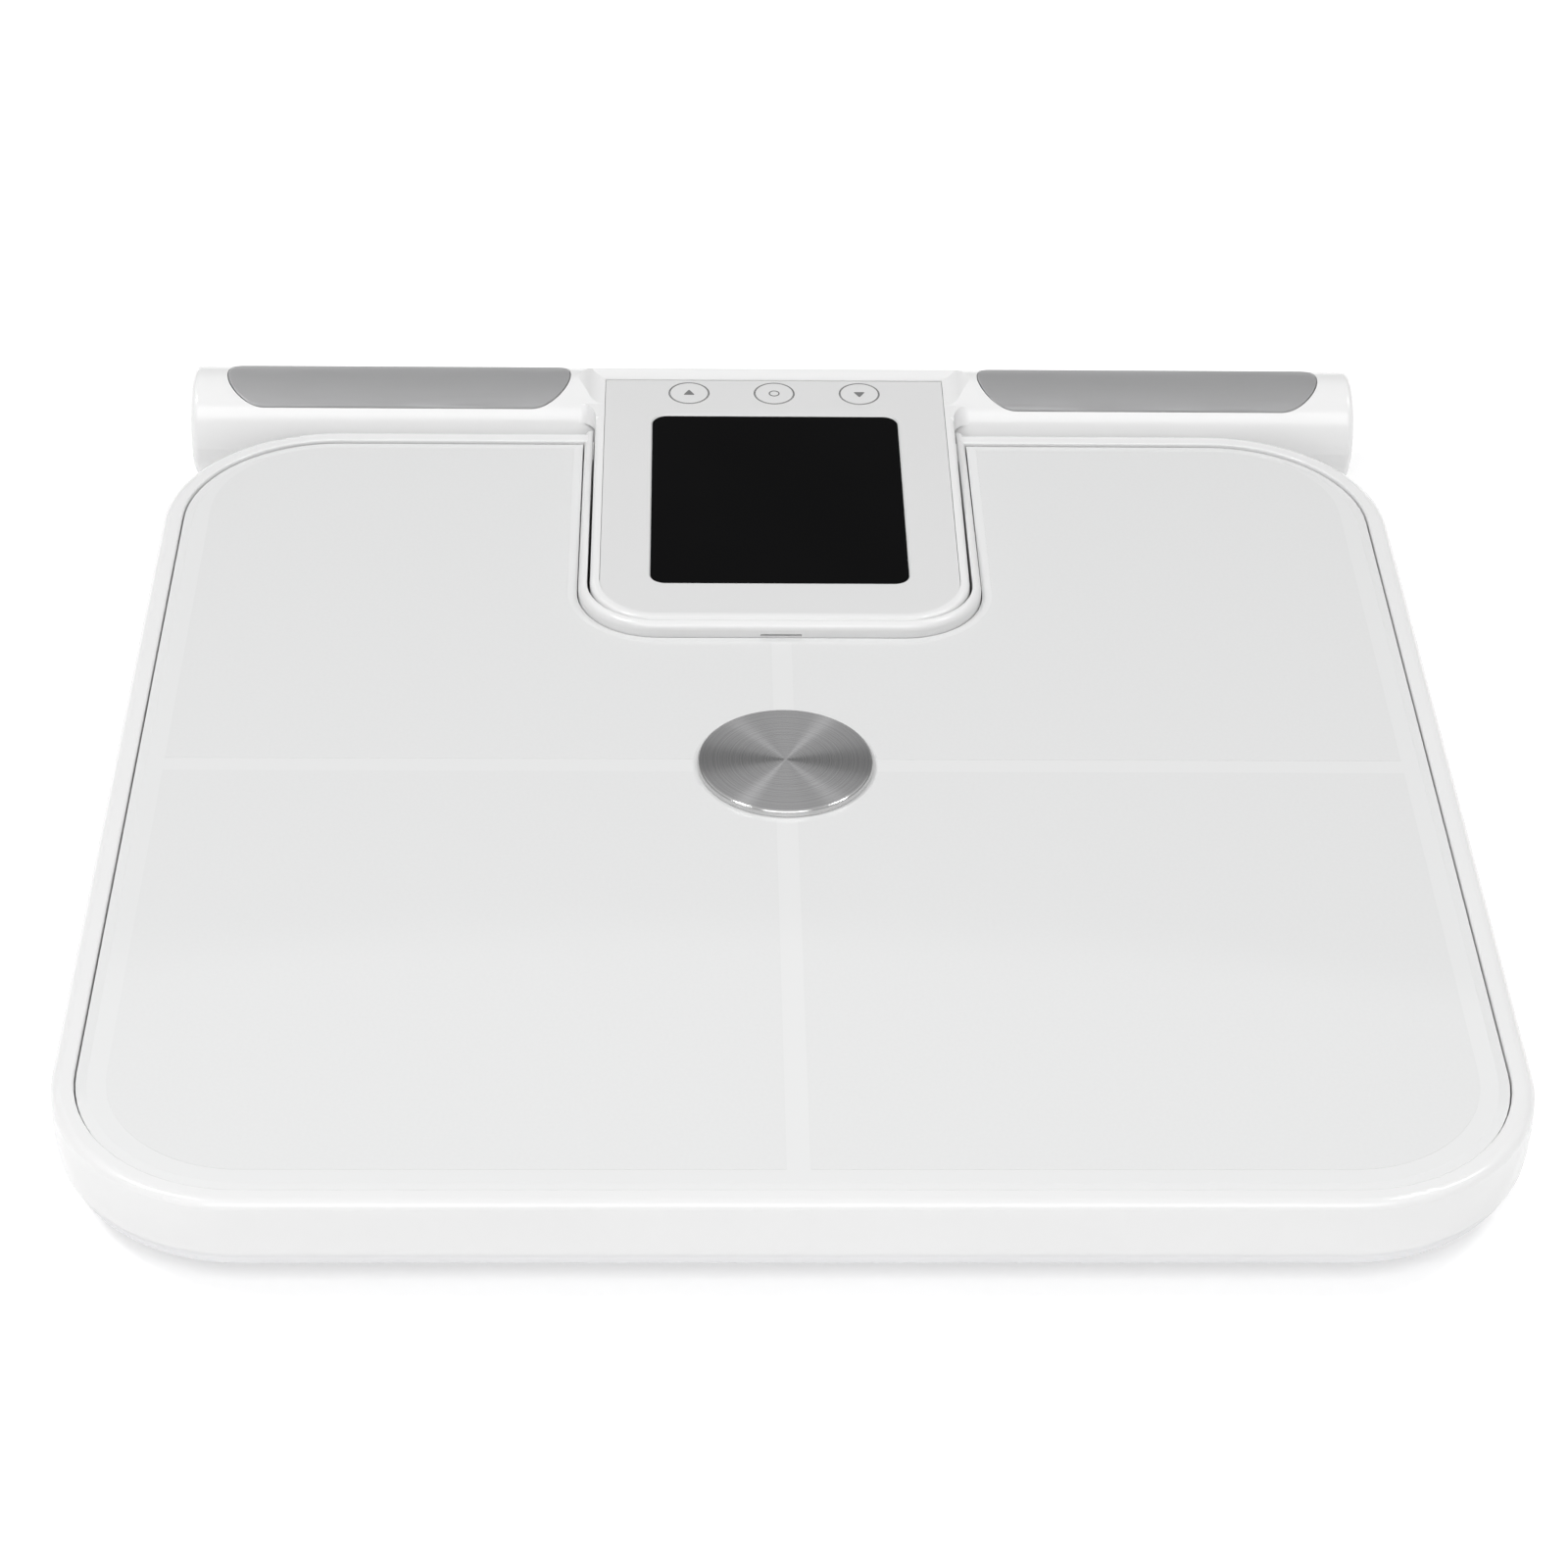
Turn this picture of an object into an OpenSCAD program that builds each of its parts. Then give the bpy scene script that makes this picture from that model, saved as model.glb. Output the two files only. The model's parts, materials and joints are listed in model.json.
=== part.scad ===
// Bathroom scale with a lift-off display handle.
// Every module is drawn with the middle of the glass at x = 0, y = 0 and the floor at z = 0.
// +X is the user's right, +Y points to the rear, where the handle is docked, and +Z is up.
// place() then moves the whole model back so that its bounding box is centred on the origin.

/* [Glass platform] */
// Width of the glass
glass_w = 310; // [258:1:372]
// Depth of the glass
glass_d = 300; // [250:1:360]
// Thickness of the glass
glass_t = 5; // [4:0.5:8]
// Corner radius of the glass
glass_r = 38; // [25:1:50]
// Width of the shallow ground bevel round the glass
bevel_w = 2.4; // [1:0.1:4]
// Depth of that bevel at the glass edge
bevel_h = 0.35; // [0.1:0.05:0.8]
// Thickness of the adhesive tape under the glass
tape_t = 0.5; // [0.3:0.1:1]
// Width of the adhesive tape
tape_w = 12; // [6:1:20]

/* [Foot electrodes and centre disc] */
// Bare margin between the glass edge and a foot electrode
film_margin = 6.5; // [4:0.5:12]
// Width of the bare cross between the foot electrodes
film_cross = 5; // [3:0.5:10]
// Thickness of the transparent electrode film
film_t = 0.05; // [0.05:0.05:0.3]
// How far the centre of the cross lies behind the middle of the glass
disc_y = 1.8; // [-5:0.1:15]
// Diameter of the centre disc
disc_d = 42.3; // [30:0.1:60]
// Thickness of the centre disc
disc_t = 1.4; // [1:0.1:3]
// Thickness of the adhesive pad under the disc
disc_pad_t = 0.4; // [0.2:0.1:1]
// Radius of the polished edge of the disc
disc_edge_r = 0.7; // [0.3:0.1:0.9]

/* [Frame] */
// Width of the frame from the glass edge to its widest point
rim_w = 5.5; // [4:0.5:8]
// Height of the rim above the glass
rim_rise = 0.7; // [0.4:0.1:2]
// Radius of the rim's outer edge
rim_outer_r = 2.6; // [1:0.1:3]
// Radius of the rim's inner edge
rim_inner_r = 0.5; // [0.2:0.1:0.8]
// Radius of the bulge of the side wall
bulge_r = 60; // [40:5:200]
// Height of the side wall below the glass surface
skirt_h = 13.5; // [11:0.5:16]
// Thickness of the side wall
wall_t = 2.4; // [1.8:0.1:3]
// Thickness of the deck that carries the glass
deck_t = 2.2; // [1.8:0.1:3]
// Gap between the glass and the frame
seam = 0.3; // [0.2:0.1:0.6]

/* [Dock notch] */
// Half width of the notch in the glass
notch_hw = 51.7; // [43:0.1:62.1]
// Depth of the notch from the rear edge of the glass
notch_depth = 93; // [77.5:0.1:111.6]
// Corner radius of the notch
notch_r = 20.5; // [12:0.5:30]
// Thickness of the raised lip round the notch
lip_t = 2.3; // [1.8:0.1:3]
// Height of the lip above the glass at its front
lip_front_rise = 3.5; // [1.5:0.1:5]
// Height of the lip above the glass at its rear ends
lip_rear_rise = 1; // [0.6:0.1:2]
// Radius of the lip's outer edge
lip_edge_r = 2; // [0.5:0.1:2]
// Length of the guide pads at the mouth of the notch
pad_len = 9; // [5:1:20]
// Thickness of the guide pads
pad_t = 0.3; // [0.1:0.1:0.4]
// Width of the slit at the foot of the lip
slit_w = 10.3; // [6:0.1:20]
// Height of that slit
slit_h = 0.6; // [0.4:0.1:1]
// How deep that slit goes into the lip
slit_deep = 1.3; // [0.4:0.1:1.3]

/* [Base] */
// Height of the base floor above the ground
foot_stand = 5; // [3:0.5:8]
// Thickness of the base floor
floor_t = 2; // [1.6:0.1:3]
// Clear height inside the base
inner_h = 10.3; // [10.3:0.1:16]
// Distance from the glass side edge to a foot's centre
foot_inset_x = 40; // [34:1:60]
// Distance from the glass front or rear edge to a foot's centre
foot_inset_y = 45; // [34:1:60]
// Diameter of a foot cup
cup_d = 38; // [30:1:44]
// Diameter of a rubber foot
rubber_d = 30; // [20:1:34]
// Thickness of a rubber foot
rubber_t = 2.5; // [1.5:0.5:4]
// Width and length of a load cell
cell_plate = 34; // [28:1:38]
// Thickness of a load cell
cell_plate_t = 2; // [1.5:0.1:3]

/* [Battery bay] */
// How far the battery bay lies in front of the middle of the glass
bay_y = -62; // [-90:1:-50]
// Thickness of the battery door
door_t = 1.6; // [1.2:0.1:1.6]
// Radius of the door's hinge barrel
barrel_r = 1.4; // [1.2:0.1:1.8]
// Radius of the door's hinge pins
pin_r = 0.8; // [0.6:0.1:0.9]

/* [Cord reel] */
// Gap between the reel housing and the notch in the glass
reel_gap = 10; // [8:1:14]
// Outer radius of the reel housing
reel_r = 27; // [22:1:32]
// Radius of the drum that the cord winds on
hub_r = 16.5; // [13:0.5:18]
// Radius of the reel's centre post
post_r = 3; // [2:0.5:4]
// Diameter of the handle cord
cord_d = 3; // [2:0.5:4]

/* [Handle] */
// Radius of the grip bar
bar_r = 15; // [12.5:0.5:18]
// How far each end of the grip bar lies inside the side of the frame
bar_inset = 2.5; // [0:0.1:10]
// Height of the bar's axis below the glass surface
bar_drop = 6; // [4:0.5:7]
// Radius of the edge at the bar's ends
bar_end_r = 2; // [1:0.5:4]
// Wall of the handle shells
shell_t = 2.2; // [1.6:0.1:3]
// Gap between the grip bar and the frame
bar_gap = 0.5; // [0.4:0.1:2]
// Gap between the stem and each side of the notch lip
stem_side_gap = 0.7; // [0.5:0.1:2]
// Gap between the stem and the front of the notch lip
stem_front_gap = 0.5; // [0.4:0.1:2]
// Gap between the stem and the floor of the notch
stem_floor_gap = 2.5; // [2.5:0.1:4]
// Height of the stem's front edge above the glass
stem_rise = 3.4; // [1.5:0.1:5]
// Slope of the display, rising to the rear, in degrees
tilt = 1.3; // [0:0.1:3]
// Radius of the stem's top edge
stem_edge_r = 1.3; // [0.5:0.1:2]
// Radius of the blend between the stem and the bar
blend_r = 4.5; // [2:0.5:6]

/* [Display and keys] */
// Width of the border round the display panel
border_w = 2.4; // [1.5:0.1:4]
// Depth of the panel below the border
panel_sink = 0.3; // [0.1:0.1:0.6]
// Thickness of the display panel
panel_t = 1.5; // [1.2:0.1:2]
// How far the panel runs on behind the bar's axis
panel_past_axis = 3.2; // [0:0.1:4]
// Level border between the panel and the ramp up to the bar
ramp_start = 0.6; // [0.3:0.1:1]
// Distance from the side of the panel to the display window
window_side = 12.9; // [8:0.1:20]
// Corner radius of the display window
window_r = 4; // [2:0.5:8]
// Distance from the stem's front edge to the window
window_front = 16.4; // [12:0.1:20]
// Diameter of a key
key_d = 10.6; // [8:0.1:12]
// Distance between neighbouring keys
key_pitch = 23.2; // [16:0.1:28]
// Distance from the window to the middle of the keys
key_offset = 11.2; // [9:0.1:14]
// Distance from the rear edge of the panel to the middle of the keys
key_rear = 6.5; // [6.5:0.1:12]
// Travel of a key
key_travel = 0.4; // [0.2:0.1:0.5]

/* [Hand electrodes] */
// Distance from the end of the bar to a hand electrode
grip_end_gap = 9.5; // [6:0.1:20]
// Distance from the stem to a hand electrode
grip_stem_gap = 7.1; // [6:0.1:20]
// Width of a hand electrode across the bar
grip_w = 21; // [12:0.5:22]
// Thickness of a hand electrode
grip_t = 0.9; // [0.5:0.1:1.2]

/* [Hidden] */
$fn = 96;

// Clearance between two pieces of one body that are put together without force
fit = 0.2;
// Clearance between pieces that move past each other
run = 0.3;
// Radial clearance of a pin or post in its bore
bore_fit = 0.05;
// Depth that a piece of a union reaches into its neighbour
bite = 1;

// Heights above the floor, from the ground up
floor_top = foot_stand + floor_t;
deck_z = floor_top + inner_h;
deck_top = deck_z + deck_t;
glass_z = deck_top + tape_t;
glass_top = glass_z + glass_t;
rim_top = glass_top + rim_rise;
skirt_z = glass_top - skirt_h;

// Outside of the frame, and the shift that centres the model
frame_w = glass_w + 2 * rim_w;
frame_d = glass_d + 2 * rim_w;
rear_y = frame_d / 2;
shift_y = -(bar_gap + 2 * bar_r) / 2;

// The underside of the base rounds in from the foot of the side wall
under_inset = 1;
under_r = skirt_z - foot_stand;
under_u = rim_w - under_inset - under_r;

// The lip round the notch: outer and inner outline, and the slope of its crest
notch_front = glass_d / 2 - notch_depth;
lip_hw = notch_hw - seam - lip_t;
lip_front = notch_front + seam + lip_t;
lip_r = notch_r - seam - lip_t;
lip_slope = atan((lip_front_rise - lip_rear_rise) / notch_depth);

// The handle
bar_y = rear_y + bar_gap + bar_r;
bar_z = glass_top - bar_drop;
bar_len = frame_w - 2 * bar_inset;
bar_bore_r = bar_r - shell_t;
stem_hw = lip_hw - stem_side_gap;
stem_front = lip_front + stem_front_gap;
stem_r = lip_r - stem_side_gap;
stem_z = floor_top + stem_floor_gap;
stem_top = glass_top + stem_rise;
stem_low_front = stem_front + (stem_top - bar_z) * tan(tilt);
tunnel_rear = stem_low_front + 9;
stem_len = bar_y - stem_front + panel_past_axis + 2;
panel_len = bar_y - stem_front + panel_past_axis;
panel_hw = stem_hw - border_w;
panel_r = stem_r - border_w;
plate_t = 1.5;
pocket_z = -panel_sink - panel_t;
cavity_z = pocket_z - plate_t;
key_s = panel_len - key_rear;
window_w = 2 * (panel_hw - window_side);
window_d = key_s - key_offset - window_front;
window_mid = window_front + window_d / 2;
grip_len = bar_len / 2 - stem_hw - grip_end_gap - grip_stem_gap;
grip_x = bar_len / 2 - grip_end_gap - grip_len / 2;
ramp_w = border_w + grip_stem_gap - ramp_start - 1.2;
ramp_h = max(0.5, bar_r + 0.05 - (stem_top - bar_z) * cos(tilt) - (bar_y - stem_front) * sin(tilt));

// Display stack below the panel pocket
module_t = 2.8;
module_z = cavity_z - fit - module_t;
board_t = 1.2;
board_z = module_z - 0.5 - board_t;
key_flange_r = key_d / 2 + 1.2;
key_flange_t = 0.8;
key_flange_z = cavity_z - 0.15 - key_flange_t;
key_stem_z = key_flange_z - 0.8;

// Feet: cup from the rubber up to the beam of the load cell
foot_x = glass_w / 2 - foot_inset_x;
foot_y = glass_d / 2 - foot_inset_y;
cup_wall_top = foot_stand + 4;
beam_z = foot_stand + 6;

// Battery bay for four AAA cells side by side
aaa_r = 5.25;
aaa_len = 44.5;
aaa_pitch = 11;
bay_w = 46;
bay_d = 54;
bay_wall = 1.5;
bay_top = deck_z - fit;
cell_z = foot_stand + door_t + 0.1 + aaa_r;
cell_y = bay_y + 1.5;
door_gap = 0.4;
hinge_y = bay_y - bay_d / 2 + door_gap + barrel_r;
hinge_z = foot_stand + barrel_r;

// Main board, between the reel and the right-hand side
board_side = 36;
board_inner = 49;
board_size = [glass_w / 2 - board_side - board_inner, 46];
board_xy = [glass_w / 2 - board_side - board_size[0] / 2, -12];
board_lift = 3;
board_post_inset = 4;

// Cord reel
reel_floor = 1;
reel_wall = 1.2;
reel_cover_t = 0.8;
reel_top = deck_z - 0.2 - reel_cover_t;
reel_y = notch_front - reel_gap - reel_r;
drum_z = floor_top + reel_floor + run;
drum_top = reel_top - run;
drum_r = reel_r - reel_wall - 0.8;
hub_wall = 1.2;
cord_z = (drum_z + drum_top) / 2;

// Case screws, from below into the bosses of the deck
screw_recess = 4;
screw_z = foot_stand + screw_recess;
screw_head_t = 2;
boss_z = skirt_z;
screw_head_r = 2.8;
screw_r = 1.5;
screw_inset = 15;
case_screw_xy = [for (s = [-1, 1]) each [
    [s * 60, 22 - glass_d / 2],
    [s * (glass_w / 2 - screw_inset), -30],
    [s * (glass_w / 2 - screw_inset), 45],
    [s * (notch_hw + screw_inset), glass_d / 2 - 28]]];
handle_screw_xy = [for (s = [-1, 1]) each [
    [s * (stem_hw - 14.4), stem_front + 10],
    [s * (stem_hw - 7), stem_front + panel_len - 30]]];
magnet_xy = [for (s = [-1, 1]) [s * 26, stem_front + 22]];
magnet_r = 5;
magnet_t = 1.8;

module place() {
    translate([0, shift_y, 0]) children();
}

// ---- Outlines and sweeps ----

// Rounded rectangle centred on the origin
module rounded_rect(w, d, r) {
    square([w - 2 * r, d], center = true);
    square([w, d - 2 * r], center = true);
    for (x = [-1, 1], y = [-1, 1])
        translate([x * (w / 2 - r), y * (d / 2 - r)]) circle(r);
}

// Filled U, open to the rear, with two rounded front corners
module u_area(hw, front, rear, r) {
    translate([-hw, front + r]) square([2 * hw, rear - front - r]);
    translate([r - hw, front]) square([2 * (hw - r), rear - front]);
    for (s = [-1, 1])
        translate([s * (hw - r), front + r]) circle(r);
}

// Sweeps the child profile (x outward, y up) round a rounded rectangle
module ring_sweep(w, d, r) {
    for (k = [0:3]) {
        across = k % 2 == 0 ? w : d;
        along = k % 2 == 0 ? d : w;
        rotate(k * 90) {
            translate([across / 2, along / 2 - r, 0])
                rotate([90, 0, 0]) linear_extrude(along - 2 * r) children();
            translate([across / 2 - r, along / 2 - r, 0])
                rotate_extrude(angle = 90) translate([r, 0]) children();
        }
    }
}

// Sweeps the child profile (x outward, y up) round a U that is open to the rear
module u_sweep(hw, front, rear, r) {
    for (s = [0, 1])
        mirror([s, 0, 0]) {
            translate([hw, rear, 0])
                rotate([90, 0, 0]) linear_extrude(rear - front - r) children();
            translate([hw - r, front + r, 0])
                rotate([0, 0, -90]) rotate_extrude(angle = 90) translate([r, 0]) children();
        }
    translate([hw - r, front, 0])
        rotate([0, 0, -90]) rotate([90, 0, 0]) linear_extrude(2 * (hw - r)) children();
}

module tube(outer, inner, h) {
    difference() {
        cylinder(r = outer, h = h);
        translate([0, 0, -bite]) cylinder(r = inner, h = h + 2 * bite);
    }
}

// ---- Glass platform ----

// Outline of the glass grown by g (shrunk where g is negative)
module glass_outline(g) {
    difference() {
        rounded_rect(glass_w + 2 * g, glass_d + 2 * g, glass_r + g);
        u_area(notch_hw - g, notch_front + g, glass_d, notch_r - g);
    }
}

module bevel_cut() {
    polygon([[-bevel_w, 0], [0, -bevel_h], [bite, -bevel_h], [bite, bite], [-bevel_w, bite]]);
}

module platform_glass() {
    color([0.93, 0.94, 0.94]) place() difference() {
        translate([0, 0, glass_z]) linear_extrude(glass_t) glass_outline(0);
        translate([0, 0, glass_top]) ring_sweep(glass_w, glass_d, glass_r) bevel_cut();
        translate([0, 0, glass_top]) u_sweep(notch_hw, notch_front, glass_d, notch_r)
            mirror([1, 0]) bevel_cut();
    }
}

// The foot electrodes reach the bevel at the rear and round the notch
module film_outline() {
    gap = bevel_w + 0.1;
    difference() {
        translate([0, (film_margin - gap) / 2])
            rounded_rect(glass_w - 2 * film_margin, glass_d - film_margin - gap, glass_r - film_margin);
        u_area(notch_hw + gap, notch_front - gap, glass_d, notch_r + gap);
    }
}

// One quarter of the transparent foot electrodes; side is -1 left or 1 right, row -1 front or 1 rear
module foot_electrode(side, row) {
    reach = glass_w;
    color([0.86, 0.87, 0.87]) place() translate([0, 0, glass_top]) linear_extrude(film_t)
        intersection() {
            difference() {
                film_outline();
                translate([0, disc_y]) circle(disc_d / 2 + 1);
            }
            translate([side * (reach + film_cross) / 2, disc_y + row * (reach + film_cross) / 2])
                square(reach, center = true);
        }
}

module electrode_front_left() { foot_electrode(-1, -1); }
module electrode_front_right() { foot_electrode(1, -1); }
module electrode_rear_left() { foot_electrode(-1, 1); }
module electrode_rear_right() { foot_electrode(1, 1); }

module disc_pad() {
    color("white") place() translate([0, disc_y, glass_top])
        cylinder(r = disc_d / 2 - 0.3, h = disc_pad_t);
}

module centre_disc() {
    r = disc_d / 2;
    color("silver") place() translate([0, disc_y, glass_top + disc_pad_t]) rotate_extrude() {
        square([r - disc_edge_r, disc_t]);
        square([r, disc_t - disc_edge_r]);
        translate([r - disc_edge_r, disc_t - disc_edge_r]) circle(disc_edge_r);
    }
}

module glass_tape() {
    inset = 1;
    color("gainsboro") place() translate([0, 0, deck_top]) linear_extrude(tape_t) difference() {
        glass_outline(-inset);
        glass_outline(-inset - tape_w);
    }
}

// ---- Frame ----

module rim_profile() {
    out = rim_w - rim_outer_r;
    intersection() {
        union() {
            translate([seam, deck_z])
                square([out - seam, rim_top - rim_inner_r - deck_z]);
            translate([seam + rim_inner_r, deck_z])
                square([out - seam - rim_inner_r, rim_top - deck_z]);
            translate([seam + rim_inner_r, rim_top - rim_inner_r]) circle(rim_inner_r);
            translate([out - bite, deck_z])
                square([rim_outer_r + bite, rim_top - rim_outer_r - deck_z]);
            translate([out, rim_top - rim_outer_r]) circle(rim_outer_r);
            translate([rim_w - wall_t, skirt_z]) square([wall_t, deck_z - skirt_z + bite]);
        }
        translate([rim_w - bulge_r, bar_z]) circle(bulge_r);
    }
}

module lip_profile() {
    deep = 30;
    small_r = 0.3;
    translate([0, -deep]) square([lip_t - lip_edge_r, deep - small_r]);
    translate([small_r, -deep]) square([lip_t - lip_edge_r, deep]);
    translate([small_r, -small_r]) circle(small_r);
    translate([0, -deep]) square([lip_t, deep - lip_edge_r]);
    translate([lip_t - lip_edge_r, -lip_edge_r]) intersection() {
        circle(lip_edge_r);
        translate([0, -lip_edge_r]) square([lip_edge_r, 2 * lip_edge_r]);
    }
}

// Wall of the notch with the raised lip, whose crest rises to the front
module notch_wall() {
    pivot = glass_d / 2;
    intersection() {
        translate([0, pivot, glass_top + lip_rear_rise]) rotate([-lip_slope, 0, 0])
            translate([0, -pivot, 0]) u_sweep(lip_hw, lip_front, rear_y + 5, lip_r) lip_profile();
        translate([-notch_hw, notch_front - 5, floor_top])
            cube([2 * notch_hw, rear_y - fit - notch_front + 5, stem_top]);
    }
}

module screw_boss() {
    translate([0, 0, boss_z]) cylinder(r = 4, h = deck_z - boss_z + bite);
}

module top_frame() {
    pad_z = glass_top + lip_rear_rise - 0.5;
    mid_hw = lip_hw + lip_t / 2;
    color("white") place() difference() {
        union() {
            difference() {
                union() {
                    ring_sweep(glass_w, glass_d, glass_r) rim_profile();
                    translate([0, 0, deck_z]) linear_extrude(deck_t)
                        rounded_rect(glass_w + 2, glass_d + 2, glass_r + 1);
                    for (p = case_screw_xy) translate([p[0], p[1], 0]) screw_boss();
                    for (x = [-1, 1], y = [-1, 1]) translate([x * foot_x, y * foot_y, 0])
                        cell_bosses();
                    deck_ribs();
                }
                translate([0, 0, -bite]) linear_extrude(2 * stem_top)
                    u_area(mid_hw, lip_front - lip_t / 2, glass_d, lip_r + lip_t / 2);
            }
            notch_wall();
            for (s = [0, 1]) mirror([s, 0, 0])
                translate([lip_hw - pad_t, glass_d / 2 - pad_len, floor_top])
                    cube([pad_t + bite, pad_len, pad_z - floor_top]);
        }
        // Slit at the foot of the lip
        translate([-slit_w / 2, notch_front - bite, glass_top])
            cube([slit_w, bite + seam + slit_deep, slit_h]);
        // Outlet for the cord
        translate([0, lip_front + bite, cord_z]) rotate([90, 0, 0])
            cylinder(r = cord_d / 2 + 1.5, h = lip_t + 4);
        for (p = case_screw_xy) translate([p[0], p[1], boss_z - bite])
            cylinder(r = screw_r + bore_fit, h = deck_z - boss_z);
    }
}

// The load cell hangs from two bosses under the deck
module cell_bosses() {
    for (s = [-1, 1]) translate([s * (cell_plate / 2 - 4), 0, beam_z + cell_plate_t])
        cylinder(r = 3.5, h = deck_z - beam_z - cell_plate_t + bite);
}

// Ribs that stiffen the deck between the feet
module deck_ribs() {
    rib_t = 1.4;
    rib_h = 3.5;
    foot_gap = 24;
    inner = notch_hw + 6;
    for (s = [0, 1], y = [-1, 1]) mirror([s, 0, 0])
        translate([inner, y * foot_y - rib_t / 2, deck_z - rib_h])
            cube([foot_x - foot_gap - inner, rib_t, rib_h + bite]);
    for (x = [-1, 1]) translate([x * foot_x - rib_t / 2, foot_gap - foot_y, deck_z - rib_h])
        cube([rib_t, 2 * (foot_y - foot_gap), rib_h + bite]);
}

// ---- Base ----

module base_profile() {
    lip_out = rim_w - wall_t - fit;
    lip_w = 1.5;
    translate([under_u, skirt_z]) intersection() {
        difference() {
            circle(under_r);
            circle(under_r - floor_t);
        }
        translate([0, -under_r]) square(under_r);
    }
    translate([under_u - 4, foot_stand]) square([4, floor_t]);
    translate([lip_out - lip_w, skirt_z - bite]) square([lip_w, bite + 3]);
}

module base_shell() {
    collar_r = cup_d / 2 + 0.4;
    bay_out_w = bay_w + 2 * bay_wall;
    bay_out_d = bay_d + 2 * bay_wall;
    color("gainsboro") place() difference() {
        union() {
            ring_sweep(glass_w, glass_d, glass_r) base_profile();
            translate([0, 0, foot_stand]) linear_extrude(floor_t)
                rounded_rect(glass_w + 2 * under_u, glass_d + 2 * under_u, glass_r + under_u);
            for (x = [-1, 1], y = [-1, 1]) translate([x * foot_x, y * foot_y, foot_stand])
                cylinder(r = collar_r + 1.8, h = 5.2);
            for (p = case_screw_xy) translate([p[0], p[1], foot_stand])
                cylinder(r = 4.5, h = boss_z - foot_stand);
            translate([-bay_out_w / 2, bay_y - bay_out_d / 2, foot_stand])
                cube([bay_out_w, bay_out_d, bay_top - foot_stand]);
            for (p = magnet_xy) translate([p[0], p[1], foot_stand])
                cylinder(r = magnet_r + 1.5, h = floor_t + magnet_t);
            board_posts();
        }
        for (x = [-1, 1], y = [-1, 1]) translate([x * foot_x, y * foot_y, 0])
            cylinder(r = collar_r, h = deck_z);
        for (p = case_screw_xy) translate([p[0], p[1], 0]) {
            cylinder(r = screw_head_r + fit, h = screw_z);
            cylinder(r = screw_r + fit, h = deck_z);
        }
        translate([-bay_w / 2, bay_y - bay_d / 2, 0]) cube([bay_w, bay_d, deck_z]);
        translate([0, hinge_y, hinge_z]) rotate([0, 90, 0])
            cylinder(r = pin_r + bore_fit, h = bay_out_w + 2, center = true);
        for (p = magnet_xy) translate([p[0], p[1], floor_top])
            cylinder(r = magnet_r + fit / 2, h = deck_z);
        // Finger notch that lets a nail under the door
        translate([0, bay_y + bay_d / 2, foot_stand - 6.4]) sphere(r = 7.6);
        // The notch wall and the stem pass over the rear of the base
        translate([-notch_hw, rear_y - 12, floor_top]) cube([2 * notch_hw, 20, deck_z]);
    }
}

module board_posts() {
    for (x = [-1, 1], y = [-1, 1])
        translate([board_xy[0] + x * (board_size[0] / 2 - board_post_inset),
            board_xy[1] + y * (board_size[1] / 2 - board_post_inset), foot_stand])
            cylinder(r = 2.5, h = floor_t + board_lift);
}

module main_board() {
    w = board_size[0];
    sink = 0.2;
    color("seagreen") place() translate([board_xy[0], board_xy[1], floor_top + board_lift]) {
        translate([-w / 2, -board_size[1] / 2, 0]) cube([w, board_size[1], board_t]);
        // Two chips, a capacitor and a plug
        translate([-w / 4, -10, board_t - sink]) cube([14, 14, 1.6]);
        translate([w / 10, -2, board_t - sink]) cube([8, 10, 1.8]);
        translate([w / 2 - 12, 10, board_t - sink]) cylinder(r = 3, h = 4.5);
        translate([3 - w / 2, 8, board_t - sink]) cube([5, 12, 4]);
    }
}

// Steel load cell: a square plate whose middle tongue bends on the foot cup
module load_cell(side, row) {
    half = cell_plate / 2;
    slot = 2;
    color("silver") place() translate([side * foot_x, row * foot_y, beam_z]) difference() {
        translate([-half, -half + 4, 0]) cube([cell_plate, cell_plate - 8, cell_plate_t]);
        for (s = [-1, 1]) translate([s * 8 - slot / 2, -half + 9, -bite])
            cube([slot, cell_plate - 18, 2 * bite + cell_plate_t]);
        translate([-8 - slot / 2, -half + 8, -bite])
            cube([16 + slot, slot, 2 * bite + cell_plate_t]);
    }
}

module load_cell_front_left() { load_cell(-1, -1); }
module load_cell_front_right() { load_cell(1, -1); }
module load_cell_rear_left() { load_cell(-1, 1); }
module load_cell_rear_right() { load_cell(1, 1); }

module foot_cup(side, row) {
    color("whitesmoke") place() translate([side * foot_x, row * foot_y, 0]) difference() {
        union() {
            translate([0, 0, rubber_t - 1]) cylinder(r = cup_d / 2, h = cup_wall_top - rubber_t + 1);
            cylinder(r = 4, h = beam_z);
        }
        cylinder(r = rubber_d / 2 + fit / 2, h = rubber_t);
        translate([0, 0, foot_stand]) tube(cup_d / 2 - 2, 4, 8);
    }
}

module foot_cup_front_left() { foot_cup(-1, -1); }
module foot_cup_front_right() { foot_cup(1, -1); }
module foot_cup_rear_left() { foot_cup(-1, 1); }
module foot_cup_rear_right() { foot_cup(1, 1); }

module rubber_foot(side, row) {
    r = rubber_d / 2;
    edge = 0.6;
    color("lightgrey") place() translate([side * foot_x, row * foot_y, 0]) rotate_extrude()
        difference() {
            polygon([[0, 0], [r - edge, 0], [r, edge], [r, rubber_t], [0, rubber_t]]);
            for (k = [1:3]) translate([k * r / 4, 0]) circle(0.4);
        }
}

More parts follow.
